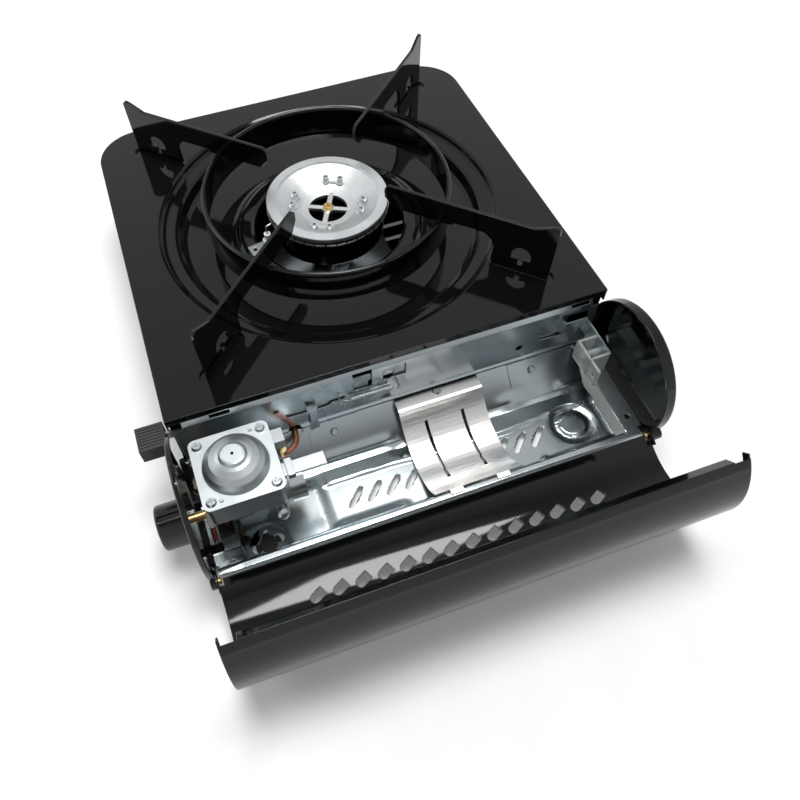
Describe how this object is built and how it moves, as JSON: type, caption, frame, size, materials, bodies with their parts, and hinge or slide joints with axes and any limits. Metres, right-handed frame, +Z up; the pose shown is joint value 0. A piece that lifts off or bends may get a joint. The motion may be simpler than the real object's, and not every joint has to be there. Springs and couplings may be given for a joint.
{
  "type": "portable_gas_stove",
  "caption": "Portable gas stove for a butane cartridge: flat body with a round dish and pan support, cylindrical cartridge bay with its lid open, knob and lock lever at the front",
  "frame": {"origin": "On the table, at the middle of the outline with the lid open and the pan support in place", "axes": "+X from the burner side to the cartridge bay, +Y from the knob at the front to the rear, +Z up"},
  "size_m": [0.4054, 0.3014, 0.1146],
  "materials": {
    "black_enamel": "gloss",
    "galvanised_sheet": "satin",
    "brushed_aluminium": "satin",
    "cast_aluminium": "satin",
    "plain_steel": "satin",
    "zinc_casting": "matte",
    "brass": "satin",
    "copper": "satin",
    "black_rubber": "matte",
    "gloss_black_plastic": "gloss",
    "matte_black_plastic": "matte",
    "white_ceramic": "satin",
    "white_plastic": "satin",
    "red_insulation": "satin",
    "clear_plastic": "gloss"
  },
  "bodies": {
    "stove": {"body_shell": "black_enamel", "top_plate": "black_enamel", "cartridge_tray": "galvanised_sheet", "side_rail": "galvanised_sheet", "front_cheek": "black_enamel", "rear_cheek": "black_enamel", "heat_panel": "brushed_aluminium", "panel_rivet": "plain_steel", "rail_screws": "plain_steel", "feet": "black_rubber", "burner_bracket": "galvanised_sheet", "burner_base": "plain_steel", "burner_cup": "black_enamel", "flame_ring": "plain_steel", "burner_cap": "cast_aluminium", "burner_screw": "brass", "mixing_tube": "plain_steel", "gas_nozzle": "brass", "gas_pipe": "copper", "pipe_nut": "brass", "igniter_bracket": "galvanised_sheet", "igniter_ceramic": "white_ceramic", "igniter_pin": "plain_steel", "ignition_lead": "red_insulation", "piezo_unit": "matte_black_plastic", "lead_cap": "white_plastic", "regulator_body": "zinc_casting", "regulator_diaphragm": "black_rubber", "regulator_spring": "plain_steel", "regulator_cover": "galvanised_sheet", "regulator_screws": "plain_steel", "relief_cap": "plain_steel", "cartridge_socket": "plain_steel", "socket_seal": "black_rubber", "guide_tongue": "galvanised_sheet", "regulator_bracket": "galvanised_sheet", "bracket_screw": "matte_black_plastic", "hinge_pins": "brass", "lever_pin": "plain_steel", "return_spring": "plain_steel"},
    "pan_support": {"trivet_ring": "black_enamel", "trivet_arm_1": "black_enamel", "trivet_arm_2": "black_enamel", "trivet_arm_3": "black_enamel", "trivet_arm_4": "black_enamel"},
    "lid_body": {"lid": "black_enamel"},
    "knob": {"control_knob": "gloss_black_plastic", "valve_spindle": "brass"},
    "plunger": {"piezo_plunger": "white_plastic"},
    "lever": {"lock_lever": "galvanised_sheet", "lever_cap": "matte_black_plastic"},
    "clamp": {"clamp_slider": "galvanised_sheet", "cartridge_pusher": "galvanised_sheet", "pusher_clip": "clear_plastic"}
  },
  "joints": [
    {"name": "lid_hinge", "type": "hinge", "parent": "stove", "child": "lid_body", "pos_m": [0.1348, 0.00795, 0.0245], "axis": [0, -1, 0], "range_deg": [0, 101]},
    {"name": "support_lift", "type": "slide", "parent": "stove", "child": "pan_support", "axis": [0, 0, 1], "range_m": [0, 0.12]},
    {"name": "knob_turn", "type": "hinge", "parent": "stove", "child": "knob", "pos_m": [0.0953, -0.13145, 0.03], "axis": [0, -1, 0], "range_deg": [0, 150]},
    {"name": "piezo_press", "type": "slide", "parent": "stove", "child": "plunger", "axis": [1, 0, 0], "range_m": [0, 0.006]},
    {"name": "lever_press", "type": "hinge", "parent": "stove", "child": "lever", "pos_m": [0.0543, -0.08005, 0.038], "axis": [1, 0, 0], "range_deg": [0, 18]},
    {"name": "clamp_slide", "type": "slide", "parent": "stove", "child": "clamp", "axis": [0, -1, 0], "range_m": [0, 0.00701], "stiffness_N_per_m": 100, "springref_m": -0.004, "deforming": ["return_spring"]}
  ],
  "couplings": [
    {"joint": "piezo_press", "follows": "knob_turn", "m_per_rad": 0.00229},
    {"joint": "clamp_slide", "follows": "lever_press", "m_per_rad": 0.022276}
  ]
}
